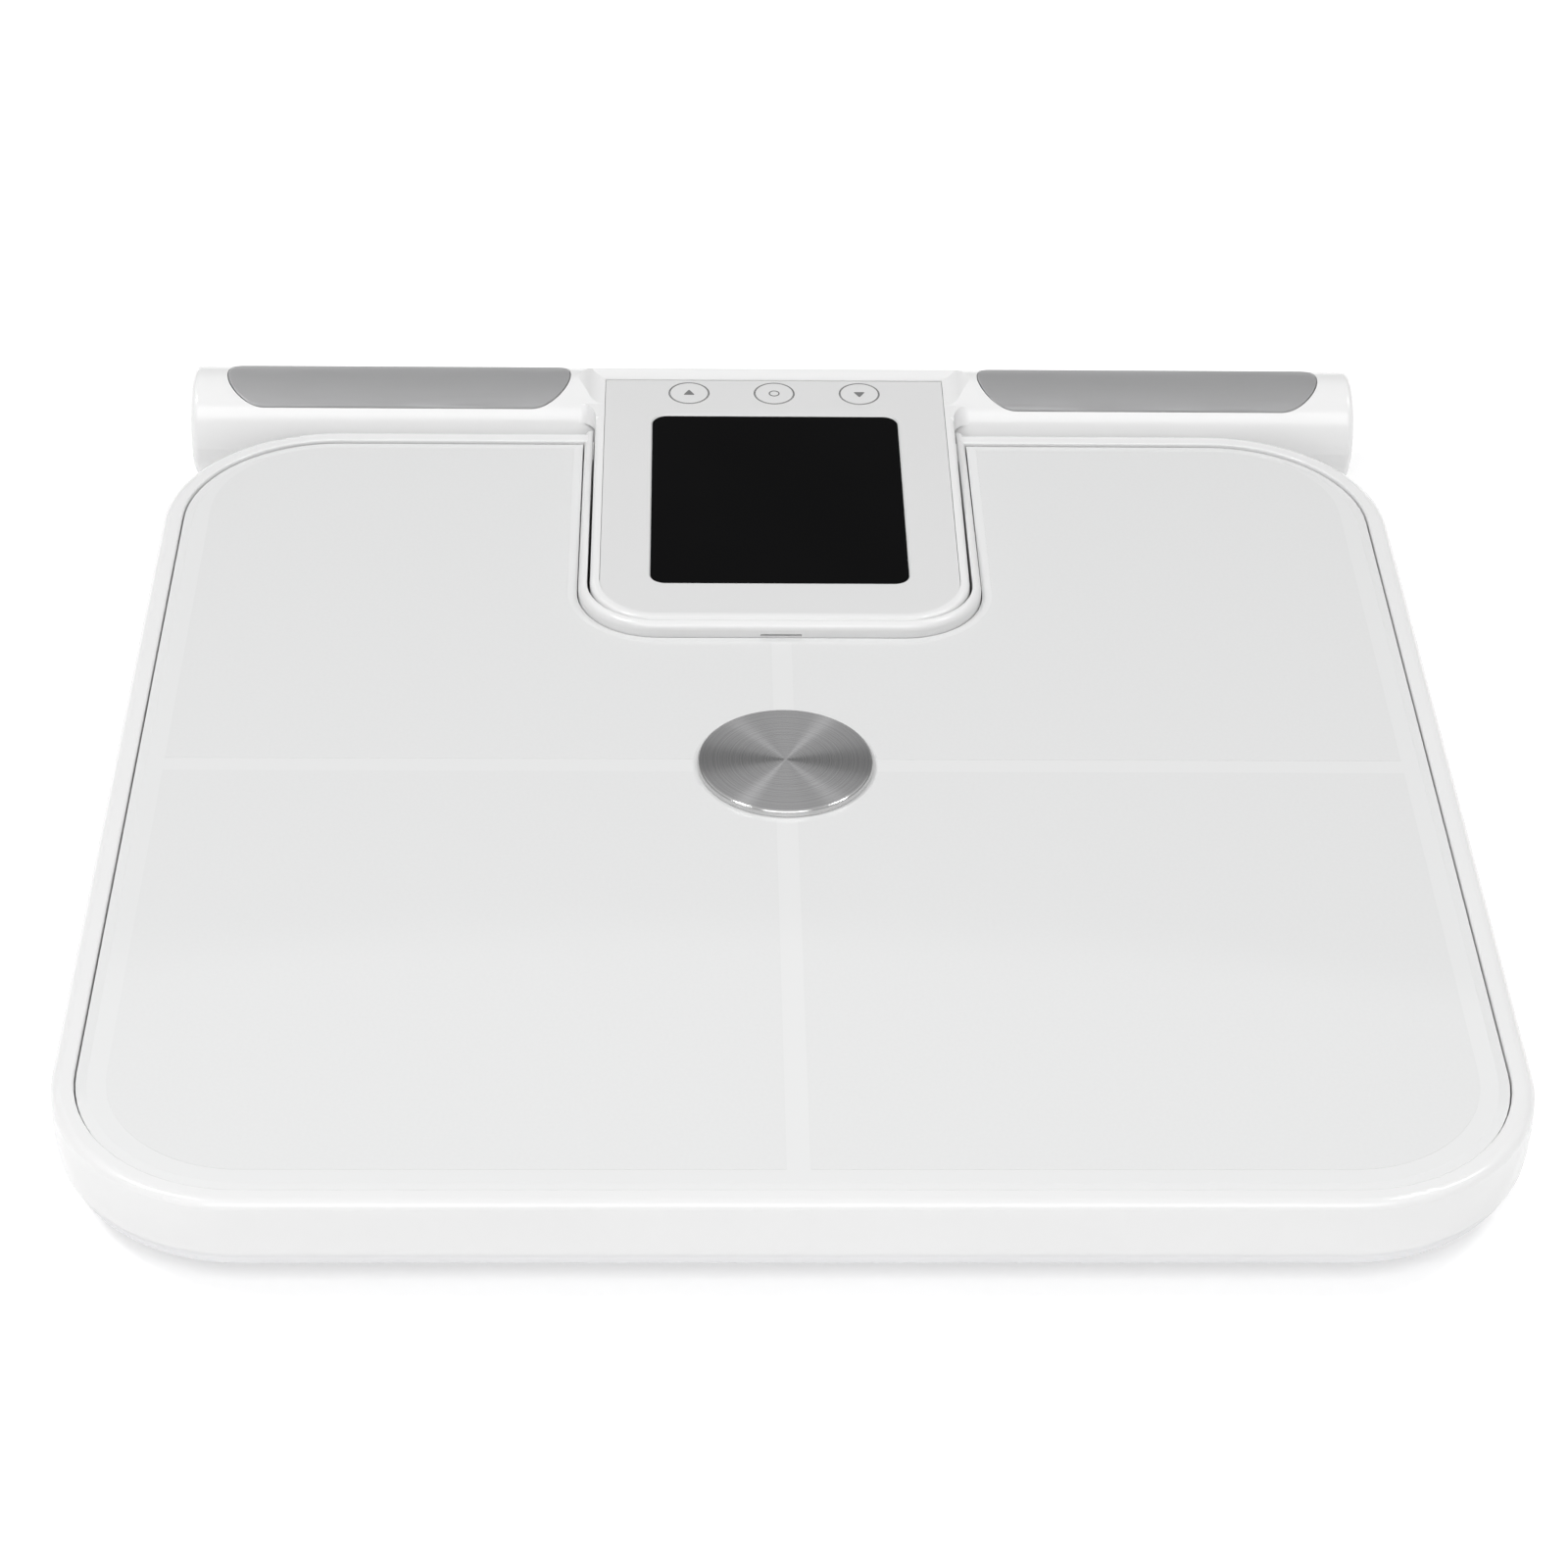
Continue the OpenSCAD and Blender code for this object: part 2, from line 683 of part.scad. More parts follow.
module rubber_foot_front_left() { rubber_foot(-1, -1); }
module rubber_foot_front_right() { rubber_foot(1, -1); }
module rubber_foot_rear_left() { rubber_foot(-1, 1); }
module rubber_foot_rear_right() { rubber_foot(1, 1); }

module case_screw(head_z, tip_z) {
    difference() {
        union() {
            translate([0, 0, head_z - screw_head_t]) cylinder(r = screw_head_r, h = screw_head_t);
            translate([0, 0, head_z - screw_head_t / 2])
                cylinder(r = screw_r, h = tip_z - head_z + screw_head_t / 2);
        }
        // Cross recess
        for (a = [0, 90]) rotate(a) translate([0, 0, head_z - screw_head_t])
            cube([3.2, 0.6, screw_head_t], center = true);
    }
}

module case_screws() {
    color("dimgrey") place() for (p = case_screw_xy)
        translate([p[0], p[1], 0]) case_screw(screw_z, deck_z - 1.5);
}

// ---- Battery bay ----

// AAA cell number 1 to 4, with its pole to the front or the rear in turn
module battery_cell(number) {
    pole = number % 2 == 0 ? 1 : -1;
    color(number % 2 == 0 ? "slategrey" : "dimgrey") place()
        translate([(number - 2.5) * aaa_pitch, cell_y, cell_z]) rotate([-90 * pole, 0, 0]) {
            translate([0, 0, -aaa_len / 2]) cylinder(r = aaa_r, h = aaa_len - 0.8);
            translate([0, 0, aaa_len / 2 - 1.2]) cylinder(r = 1.9, h = 1.2);
        }
}

module battery_cell_1() { battery_cell(1); }
module battery_cell_2() { battery_cell(2); }
module battery_cell_3() { battery_cell(3); }
module battery_cell_4() { battery_cell(4); }

// Contact plates on both end walls, with a spring for each negative end
module battery_contacts() {
    plate = 0.4;
    wire = 0.35;
    color("silver") place() for (number = [1:4]) {
        pole = number % 2 == 0 ? 1 : -1;
        x = (number - 2.5) * aaa_pitch;
        for (end = [-1, 1]) {
            room = bay_d / 2 - end * (cell_y - bay_y) - aaa_len / 2 - fit;
            translate([x, cell_y + end * aaa_len / 2, cell_z]) rotate([-90 * end, 0, 0]) {
                translate([-4.4, -4, room - plate]) cube([8.8, 8, plate]);
                if (end == -pole)
                    for (k = [0:3]) translate([0, 0, room - plate - wire * (0.8 + 1.4 * k)])
                        rotate_extrude() translate([3 - 0.25 * k, 0]) circle(wire);
            }
        }
    }
}

module battery_door() {
    w = bay_w - 2 * door_gap;
    rear = bay_y + bay_d / 2 - door_gap;
    color("gainsboro") place() {
        translate([-w / 2, hinge_y, foot_stand]) cube([w, rear - hinge_y, door_t]);
        translate([0, hinge_y, hinge_z]) rotate([0, 90, 0]) {
            cylinder(r = barrel_r, h = w, center = true);
            cylinder(r = pin_r, h = bay_w + 2 * bay_wall - 0.4, center = true);
        }
        for (x = [-1, 1]) translate([x * 9 - 0.6, rear - 3, foot_stand + door_t - 0.2])
            cube([1.2, 2, 0.8]);
    }
}

// ---- Cord reel ----

module reel_housing() {
    color("lightgrey") place() translate([0, reel_y, floor_top]) difference() {
        union() {
            cylinder(r = reel_r, h = reel_floor);
            tube(reel_r, reel_r - reel_wall, reel_top - floor_top);
            cylinder(r = post_r, h = reel_top - floor_top - run);
        }
        // The cord leaves through the rear of the wall
        translate([-cord_d, 0, cord_z - floor_top - cord_d / 2 - 0.5])
            cube([2 * cord_d, reel_r + 2, cord_d + 1]);
        translate([0, 0, reel_floor]) tube(reel_r - reel_wall, post_r, 2 * cord_d);
    }
}

module reel_cover() {
    color("whitesmoke") place() translate([0, reel_y, reel_top])
        cylinder(r = reel_r, h = reel_cover_t);
}

module reel_drum() {
    flange = 1;
    web = 0.8;
    h = drum_top - drum_z;
    color("whitesmoke") place() translate([0, reel_y, drum_z]) {
        tube(drum_r, hub_r - hub_wall, flange);
        translate([0, 0, h - flange]) tube(drum_r, hub_r - hub_wall, flange);
        tube(hub_r, hub_r - hub_wall, h);
        tube(hub_r - hub_wall / 2, post_r + bore_fit, web);
    }
}

// Flat spiral spring between the post and the drum
module reel_spring() {
    turns = 4;
    steps = 24;
    inner = post_r + 0.8;
    pitch = (hub_r - hub_wall - 0.8 - inner) / turns;
    leaf = 0.4;
    spiral = [for (k = [0:turns * steps]) [inner + pitch * k / steps, 360 * k / steps]];
    outside = [for (p = spiral) [(p[0] + leaf) * cos(p[1]), (p[0] + leaf) * sin(p[1])]];
    inside = [for (k = [turns * steps:-1:0]) [spiral[k][0] * cos(spiral[k][1]),
        spiral[k][0] * sin(spiral[k][1])]];
    color("silver") place() translate([0, reel_y, drum_z + 1.2])
        linear_extrude(drum_top - drum_z - 2) polygon(concat(outside, inside));
}

module bushing(length) {
    flange = 0.8;
    difference() {
        union() {
            cylinder(r = cord_d / 2 + 1.3, h = length);
            cylinder(r = cord_d / 2 + 1.9, h = flange);
        }
        translate([0, 0, -bite]) cylinder(r = cord_d / 2 + 0.2, h = length + 2 * bite);
    }
}

module cord_bushing() {
    color("grey") place() translate([0, lip_front - lip_t - 1.4, cord_z]) rotate([-90, 0, 0])
        bushing(lip_t + 1.2);
}

module dock_magnets() {
    color("silver") place() for (p = magnet_xy) translate([p[0], p[1], floor_top])
        cylinder(r = magnet_r, h = magnet_t);
}

// ---- Handle shells ----

// Turns a piece from the display's own frame into place: there y runs up the slope and z is its normal
module on_slope() {
    translate([0, stem_front, stem_top]) rotate([tilt, 0, 0]) children();
}

module bar_axis() {
    translate([0, bar_y, bar_z]) rotate([0, 90, 0]) children();
}

// Solid grip bar, with rounded end edges
module bar_solid() {
    half = bar_len / 2;
    bar_axis() rotate_extrude() {
        translate([0, -half]) square([bar_r - bar_end_r, bar_len]);
        translate([0, bar_end_r - half]) square([bar_r, bar_len - 2 * bar_end_r]);
        for (s = [-1, 1]) translate([bar_r - bar_end_r, s * (half - bar_end_r)])
            circle(bar_end_r);
    }
}

module bar_bore(from, to) {
    bar_axis() translate([0, 0, from]) cylinder(r = bar_bore_r, h = to - from);
}

// Everything above (side 1) or below (side -1) the parting plane of the shells
module half_space(side) {
    size = 2 * bar_len;
    translate([-size / 2, -size / 2, side > 0 ? bar_z : bar_z - size]) cube(size);
}

// A profile with a rounded top outer edge, reaching depth deep
module edge_profile(r, deep) {
    translate([-r - 2, -deep]) square([2, deep]);
    translate([-r - bite, -deep]) square([r + bite, deep - r]);
    translate([-r, -r]) circle(r);
}

module stem_upper() {
    r = stem_edge_r;
    deep = stem_top - bar_z + 4;
    on_slope() {
        translate([0, 0, -deep]) linear_extrude(deep)
            u_area(stem_hw - r, r, stem_len, stem_r - r);
        u_sweep(stem_hw, 0, stem_len, stem_r) edge_profile(r, deep);
    }
}

module stem_lower() {
    r = 2;
    h = bar_z - stem_z;
    translate([0, 0, stem_z]) {
        linear_extrude(h) u_area(stem_hw - r, stem_low_front + r, bar_y, stem_r - r);
        u_sweep(stem_hw, stem_low_front, bar_y, stem_r)
            translate([0, h]) mirror([0, 1]) translate([0, h]) edge_profile(r, h);
    }
}

// Concave blend between the side of the stem and the front of the bar, above the frame
module blends() {
    low = rim_top + 0.9;
    for (s = [0, 1]) mirror([s, 0, 0]) intersection() {
        bar_axis() rotate_extrude() difference() {
            translate([bar_r - 1, stem_hw - 1]) square([blend_r + 1, blend_r + 1]);
            translate([bar_r + blend_r, stem_hw + blend_r]) circle(blend_r);
        }
        on_slope() translate([0, 0, -20]) cube([stem_hw + blend_r + 1, panel_len, 20]);
        translate([0, 0, low]) cube([2 * stem_hw, bar_y, 20]);
    }
}

// Capsule seen from above that outlines a hand electrode, grown by g
module grip_prism(side, g) {
    r = grip_w / 2;
    half = grip_len / 2 - r;
    translate([side * grip_x, bar_y, bar_z - 2 * bar_r]) linear_extrude(4 * bar_r) {
        square([2 * half, 2 * (r + g)], center = true);
        for (s = [-1, 1]) translate([s * half, 0]) circle(r + g);
    }
}

// Curved plate on the bar, on its top (up 1) or underside (up -1)
module grip_plate(side, up, inner_r, outer_r, g) {
    intersection() {
        bar_axis() translate([0, 0, side * grip_x - grip_len]) tube(outer_r, inner_r, 2 * grip_len);
        grip_prism(side, g);
        translate([0, 0, up * 0.5]) half_space(up);
    }
}

module grip_recesses(up) {
    for (side = [-1, 1])
        grip_plate(side, up, bar_r - grip_t, bar_r + 2, 0.15);
}

module panel_pocket() {
    on_slope() translate([0, 0, pocket_z]) linear_extrude(20)
        u_area(panel_hw, border_w, panel_len, panel_r);
}

// Section of what the S-shaped ramp up to the bar leaves free, reaching back over the panel
module ramp_profile(reach) {
    r = (ramp_w * ramp_w + ramp_h * ramp_h) / (4 * ramp_h);
    clear = ramp_h + 4;
    translate([-reach, 0]) square([reach, clear]);
    translate([0, r + 0.01]) circle(r);
    difference() {
        translate([0, ramp_h / 2]) square([ramp_w, clear - ramp_h / 2]);
        translate([ramp_w, ramp_h - r]) circle(r);
    }
}

// Ramps from the sides and the rear of the panel up to the bar
module bar_ramps() {
    side_x = panel_hw + ramp_start;
    rear_s = panel_len + ramp_start;
    front_s = bar_y - stem_front - bar_r;
    end_s = rear_s + ramp_w + bite;
    on_slope() translate([0, 0, 0.02]) intersection() {
        for (s = [0, 1]) mirror([s, 0, 0])
            translate([side_x, end_s, 0]) rotate([90, 0, 0])
                linear_extrude(end_s - front_s) ramp_profile(side_x + bite);
        translate([-side_x - ramp_w - bite, rear_s, 0]) rotate([90, 0, 90])
            linear_extrude(2 * (side_x + ramp_w + bite)) ramp_profile(rear_s - front_s + bite);
    }
}

module handle_top_shell() {
    inner_hw = stem_hw - shell_t;
    reach = bar_len / 2 - shell_t;
    color("white") place() difference() {
        intersection() {
            union() {
                bar_solid();
                stem_upper();
                blends();
            }
            half_space(1);
        }
        panel_pocket();
        bar_ramps();
        on_slope() translate([0, 0, cavity_z - 30]) linear_extrude(30)
            u_area(inner_hw, shell_t, stem_len - 6, stem_r - shell_t);
        intersection() {
            bar_bore(-stem_hw - 1, stem_hw + 1);
            on_slope() translate([-stem_hw - 2, 0, cavity_z - 60])
                cube([2 * stem_hw + 4, 2 * stem_len, 60]);
        }
        for (s = [0, 1]) mirror([s, 0, 0]) bar_bore(stem_hw + grip_stem_gap - 3, reach);
        grip_recesses(1);
        on_slope() {
            translate([0, window_mid, cavity_z - bite]) linear_extrude(plate_t + 2 * bite)
                rounded_rect(window_w - 6, window_d - 6, window_r - 1);
            for (k = [-1:1]) translate([k * key_pitch, key_s, cavity_z - bite])
                cylinder(r = key_d / 2 + run, h = plate_t + 2 * bite);
        }
    }
    color("white") place() for (p = handle_screw_xy) screw_post(p);
}

// Post inside the top shell that takes a handle screw
module screw_post(p) {
    top = stem_top + (p[1] - stem_front) * tan(tilt) + cavity_z + 0.4;
    translate([p[0], p[1], bar_z]) tube(3, screw_r + bore_fit, top - bar_z);
}

module handle_bottom_shell() {
    inner_hw = stem_hw - shell_t;
    reach = bar_len / 2 - shell_t;
    color("white") place() difference() {
        union() {
            difference() {
                intersection() {
                    union() {
                        bar_solid();
                        stem_lower();
                    }
                    half_space(-1);
                }
                translate([0, 0, stem_z + shell_t]) linear_extrude(20)
                    u_area(inner_hw, stem_low_front + shell_t, bar_y, stem_r - shell_t);
                bar_bore(-reach, reach);
            }
            for (p = handle_screw_xy) translate([p[0], p[1], stem_z])
                cylinder(r = 3.8, h = bar_z - stem_z);
            for (p = magnet_xy) translate([p[0], p[1], stem_z])
                tube(magnet_r + 1.4, magnet_r + fit / 2, shell_t + 1.5);
            cord_tunnel(1.5);
        }
        grip_recesses(-1);
        for (p = handle_screw_xy) translate([p[0], p[1], stem_z - bite]) {
            cylinder(r = screw_head_r + fit, h = screw_recess + bite);
            cylinder(r = screw_r + fit, h = 20);
        }
        cord_tunnel(0);
        translate([0, tunnel_rear - bite, cord_z]) rotate([-90, 0, 0])
            cylinder(r = cord_d / 2 + 1.5, h = 5);
    }
}

// Channel under the nose of the stem where the cord leads from the base into the handle
module cord_tunnel(g) {
    hw = cord_d / 2 + 2;
    front = g > 0 ? stem_low_front + 0.5 : stem_low_front - 2;
    translate([-hw - g, front, stem_z - (g > 0 ? 0 : bite)])
        cube([2 * (hw + g), tunnel_rear + g - front, cord_z + hw - stem_z + g + (g > 0 ? 0 : bite)]);
}

module handle_bushing() {
    color("grey") place() translate([0, tunnel_rear - 0.9, cord_z]) rotate([-90, 0, 0])
        bushing(3);
}

module handle_screws() {
    color("dimgrey") place() for (p = handle_screw_xy)
        translate([p[0], p[1], 0]) case_screw(stem_z + screw_recess, stem_top + cavity_z - 2.5);
}

module keeper_plates() {
    color("silver") place() for (p = magnet_xy) translate([p[0], p[1], stem_z + shell_t])
        cylinder(r = magnet_r, h = 1);
}

// ---- Display and keys ----

module display_panel() {
    color([0.87, 0.87, 0.87]) place() on_slope() difference() {
        translate([0, 0, pocket_z]) linear_extrude(panel_t)
            u_area(panel_hw - fit / 2, border_w + fit / 2, panel_len - fit / 2, panel_r - fit / 2);
        translate([0, window_mid, pocket_z - bite]) linear_extrude(panel_t + 2 * bite)
            rounded_rect(window_w, window_d, window_r);
        translate([0, window_mid, -panel_sink]) ring_sweep(window_w, window_d, window_r)
            rotate(45) square(0.5, center = true);
        for (k = [-1:1]) translate([k * key_pitch, key_s, pocket_z - bite])
            cylinder(r = key_d / 2 + run, h = panel_t + 2 * bite);
    }
}

module display_window() {
    color([0.06, 0.06, 0.07]) place() on_slope() translate([0, window_mid, pocket_z])
        linear_extrude(panel_t - 0.35)
            rounded_rect(window_w - fit, window_d - fit, window_r - fit / 2);
}

module display_module() {
    color("darkseagreen") place() on_slope() translate([0, window_mid, module_z])
        linear_extrude(module_t) square([window_w + 2, window_d + 2], center = true);
}

module handle_board() {
    hw = stem_hw - 12.4;
    front = 17;
    sink = 0.2;
    color("seagreen") place() on_slope() {
        translate([-hw, front, board_z]) cube([2 * hw, key_s + 6 - front, board_t]);
        // Two chips on its underside
        translate([-14, 40, board_z - 1.4]) cube([16, 16, 1.4 + sink]);
        translate([12, 60, board_z - 2]) cube([9, 9, 2 + sink]);
    }
}

module key(index) {
    color([0.89, 0.89, 0.89]) place() on_slope()
        translate([index * key_pitch, key_s, 0]) {
            translate([0, 0, key_flange_z]) cylinder(r = key_flange_r, h = key_flange_t);
            translate([0, 0, key_flange_z]) cylinder(r = key_d / 2, h = -panel_sink - key_flange_z);
            translate([0, 0, key_stem_z]) cylinder(r = 2, h = key_flange_z - key_stem_z + bite / 2);
        }
}

module key_up() { key(-1); }
module key_set() { key(0); }
module key_down() { key(1); }

module key_switches() {
    top = key_stem_z - key_travel - 0.1;
    color("dimgrey") place() on_slope() for (k = [-1:1])
        translate([k * key_pitch, key_s, board_z + board_t]) {
            translate([-3, -3, 0]) cube([6, 6, top - 0.5 - board_z - board_t]);
            cylinder(r = 1.6, h = top - board_z - board_t);
        }
}

// ---- Hand electrodes ----

module hand_electrode(side, up) {
    color("silver") place() grip_plate(side, up, bar_r - grip_t + 0.05, bar_r + 0.1, 0);
}

module thumb_electrode_left() { hand_electrode(-1, 1); }
module thumb_electrode_right() { hand_electrode(1, 1); }
module finger_electrode_left() { hand_electrode(-1, -1); }
module finger_electrode_right() { hand_electrode(1, -1); }

platform_glass();
electrode_front_left();
electrode_front_right();
electrode_rear_left();
electrode_rear_right();
centre_disc();
disc_pad();
glass_tape();
top_frame();
base_shell();
main_board();
load_cell_front_left();
load_cell_front_right();
load_cell_rear_left();
load_cell_rear_right();
foot_cup_front_left();
foot_cup_front_right();
foot_cup_rear_left();
foot_cup_rear_right();
rubber_foot_front_left();
rubber_foot_front_right();
rubber_foot_rear_left();
rubber_foot_rear_right();
battery_cell_1();
battery_cell_2();
battery_cell_3();
battery_cell_4();
battery_contacts();
battery_door();
reel_housing();
reel_cover();
reel_drum();
reel_spring();
cord_bushing();
dock_magnets();
case_screws();
handle_top_shell();
handle_bottom_shell();
display_panel();
display_window();
display_module();
handle_board();
thumb_electrode_left();
thumb_electrode_right();
finger_electrode_left();
finger_electrode_right();
key_up();
key_set();
key_down();
key_switches();
handle_screws();
keeper_plates();
handle_bushing();
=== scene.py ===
"""The looks of a bathroom scale with a lift-off display handle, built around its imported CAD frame."""

import json
import math

import bmesh
import bpy
from mathutils import Matrix, Vector


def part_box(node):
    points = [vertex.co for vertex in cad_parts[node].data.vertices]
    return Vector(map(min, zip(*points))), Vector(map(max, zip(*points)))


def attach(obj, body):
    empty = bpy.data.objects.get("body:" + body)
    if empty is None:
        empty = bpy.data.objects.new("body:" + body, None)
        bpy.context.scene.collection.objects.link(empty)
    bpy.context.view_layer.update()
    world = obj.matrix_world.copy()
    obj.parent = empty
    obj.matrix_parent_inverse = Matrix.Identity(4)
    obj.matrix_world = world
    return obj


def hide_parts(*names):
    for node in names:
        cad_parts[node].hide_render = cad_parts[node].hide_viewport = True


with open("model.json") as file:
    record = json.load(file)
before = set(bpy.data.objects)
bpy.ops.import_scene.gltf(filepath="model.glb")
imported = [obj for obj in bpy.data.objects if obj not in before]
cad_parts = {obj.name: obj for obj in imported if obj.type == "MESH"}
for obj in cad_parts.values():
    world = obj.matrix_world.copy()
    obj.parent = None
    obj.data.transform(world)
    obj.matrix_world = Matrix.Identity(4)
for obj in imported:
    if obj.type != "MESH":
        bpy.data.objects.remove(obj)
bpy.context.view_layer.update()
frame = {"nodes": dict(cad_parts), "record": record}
NODES = frame["nodes"]
MM = 0.001
# Slope of the display's face, rising to the rear
DISPLAY_TILT = math.radians(1.3)


def centre(node):
    low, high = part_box(node)
    return (low + high) / 2


# ---- Camera ----

def aim_camera():
    """Looks down at the scale from in front of it, slightly from the left."""
    pitch, yaw, roll = math.radians(36.0), math.radians(1.8), math.radians(1.22)
    distance, lens, sensor = 0.944, 91.03, 36
    aim_x, aim_y = -0.0005, -0.021
    glass_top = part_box("platform_glass")[1].z
    target = Vector((aim_x, aim_y, glass_top))
    forward = Vector((math.sin(yaw) * math.cos(pitch), math.cos(yaw) * math.cos(pitch), -math.sin(pitch)))
    level = Vector((math.cos(yaw), -math.sin(yaw), 0))
    rise = level.cross(forward)
    right = math.cos(roll) * level + math.sin(roll) * rise
    up = -math.sin(roll) * level + math.cos(roll) * rise
    data = bpy.data.cameras.new("camera")
    data.sensor_width = sensor
    data.lens = lens
    camera = bpy.data.objects.new("camera", data)
    bpy.context.scene.collection.objects.link(camera)
    turn = Matrix((right, up, -forward)).transposed()
    camera.matrix_world = Matrix.Translation(target - forward * distance) @ turn.to_4x4()
    bpy.context.scene.camera = camera


# ---- Stage and light ----

# Half the width of the floor, in metres
FLOOR_REACH = 20.0
# The floor's own glow beside the scale and far from it, and the distances in metres where it changes
GLOW_NEAR, GLOW_FAR = 0.3, 0.85
GLOW_START, GLOW_END = 0.28, 0.6

# Brightness of the studio by elevation in degrees: a white horizon, a grey sweep, a darker gap and a
# broad overhead bank
SKY = (
    (0, 1), (3, 1),
    (8, 0.48), (21, 0.48),
    (25, 0.22), (37.8, 0.22),
    (38.4, 0.68), (60, 0.66), (75, 0.54), (90, 0.54),
)

# Name, place, size in metres and power in watts of each softbox; all of them point at the origin
SOFTBOXES = (
    ("overhead_left", (-0.80, -0.10, 1.40), (0.2, 0.4), 8.5),
    ("overhead_right", (0.88, 0.16, 1.33), (0.2, 0.4), 4.5),
    ("front", (0, -1.3, 1.6), (1.6, 1.0), 15),
)


def build_stage():
    """A white floor whose glow grows with distance, so that it stays white to the picture's edge."""
    corners = [(x * FLOOR_REACH, y * FLOOR_REACH, 0) for x, y in ((-1, -1), (1, -1), (1, 1), (-1, 1))]
    mesh = bpy.data.meshes.new("floor")
    mesh.from_pydata(corners, [], [(0, 1, 2, 3)])
    floor = bpy.data.objects.new("floor", mesh)
    bpy.context.scene.collection.objects.link(floor)
    material, tree, shader = new_material("floor")
    shader.inputs["Base Color"].default_value = (0.8, 0.8, 0.8, 1)
    shader.inputs["Roughness"].default_value = 0.9
    shader.inputs["Specular IOR Level"].default_value = 0.1
    shader.inputs["Emission Color"].default_value = (1, 1, 1, 1)
    away = distance_from_origin(tree, object_coordinates(tree))
    glow = spread(tree, away, GLOW_NEAR, GLOW_FAR, GLOW_START, GLOW_END)
    tree.links.new(glow, shader.inputs["Emission Strength"])
    mesh.materials.append(material)


def add_softbox(name, place, size, power):
    """A rectangular light that points at the origin and that the camera doesn't see."""
    data = bpy.data.lights.new(name, "AREA")
    data.shape = "RECTANGLE"
    data.size, data.size_y = size
    data.energy = power
    light = bpy.data.objects.new(name, data)
    bpy.context.scene.collection.objects.link(light)
    light.location = place
    light.rotation_euler = (Vector((0, 0, 0)) - Vector(place)).to_track_quat("-Z", "Y").to_euler()
    light.visible_camera = False


def light_stage():
    """A soft sky, two small high softboxes for the streaks on the disc, and a wide one in front."""
    world = bpy.data.worlds.new("studio")
    bpy.context.scene.world = world
    world.use_nodes = True
    tree = world.node_tree
    place = tree.nodes.new("ShaderNodeTexCoord")
    split = tree.nodes.new("ShaderNodeSeparateXYZ")
    ramp = tree.nodes.new("ShaderNodeValToRGB")
    tree.links.new(place.outputs["Generated"], split.inputs["Vector"])
    tree.links.new(split.outputs["Z"], ramp.inputs["Fac"])
    tree.links.new(ramp.outputs["Color"], tree.nodes["Background"].inputs["Color"])
    stops = ramp.color_ramp.elements
    while len(stops) < len(SKY):
        stops.new(0.5)
    for stop, (elevation, level) in zip(stops, SKY):
        stop.position = math.sin(math.radians(elevation))
        stop.color = (level, level, level, 1)
    for softbox in SOFTBOXES:
        add_softbox(*softbox)
    bpy.context.scene.view_settings.view_transform = "Standard"


# ---- Material building blocks ----

def new_material(name):
    material = bpy.data.materials.new(name)
    material.use_nodes = True
    return material, material.node_tree, material.node_tree.nodes["Principled BSDF"]


def object_coordinates(tree, stretch=(1, 1, 1), origin=(0, 0, 0)):
    """Position on the object in metres from origin, stretched so that a pattern follows one direction."""
    place = tree.nodes.new("ShaderNodeTexCoord")
    mapping = tree.nodes.new("ShaderNodeMapping")
    mapping.inputs["Location"].default_value = [-stretch[k] * origin[k] for k in range(3)]
    mapping.inputs["Scale"].default_value = stretch
    tree.links.new(place.outputs["Object"], mapping.inputs["Vector"])
    return mapping.outputs["Vector"]


def distance_from_origin(tree, vector):
    node = tree.nodes.new("ShaderNodeVectorMath")
    node.operation = "LENGTH"
    tree.links.new(vector, node.inputs[0])
    return node.outputs["Value"]


def noise(tree, vector, scale, detail=2.0):
    """Noise whose cells are about 1 / scale metres across."""
    texture = tree.nodes.new("ShaderNodeTexNoise")
    texture.inputs["Scale"].default_value = scale
    texture.inputs["Detail"].default_value = detail
    tree.links.new(vector, texture.inputs["Vector"])
    return texture.outputs["Fac"]


def spread(tree, value, low, high, start=0.3, end=0.7):
    """Maps value from start..end to low..high."""
    node = tree.nodes.new("ShaderNodeMapRange")
    tree.links.new(value, node.inputs["Value"])
    for name, number in (("From Min", start), ("From Max", end), ("To Min", low), ("To Max", high)):
        node.inputs[name].default_value = number
    return node.outputs["Result"]


def shade(tree, value, low, high, start=0.3, end=0.7):
    """Colour from low to high as value goes from start to end."""
    node = tree.nodes.new("ShaderNodeValToRGB")
    first, last = node.color_ramp.elements
    first.position, last.position = start, end
    first.color, last.color = (*low, 1), (*high, 1)
    tree.links.new(value, node.inputs["Fac"])
    return node.outputs["Color"]


def bump(tree, height, depth):
    """Normal of a surface whose height changes by depth metres."""
    node = tree.nodes.new("ShaderNodeBump")
    node.inputs["Strength"].default_value = 1.0
    node.inputs["Distance"].default_value = depth
    tree.links.new(height, node.inputs["Height"])
    return node.outputs["Normal"]


def scaled(colour, factor):
    return tuple(min(1.0, part * factor) for part in colour)


def drifting(tree, value, colour, drift):
    """The colour, a little darker and lighter by the fraction drift as value changes."""
    return shade(tree, value, scaled(colour, 1 - drift), scaled(colour, 1 + drift))


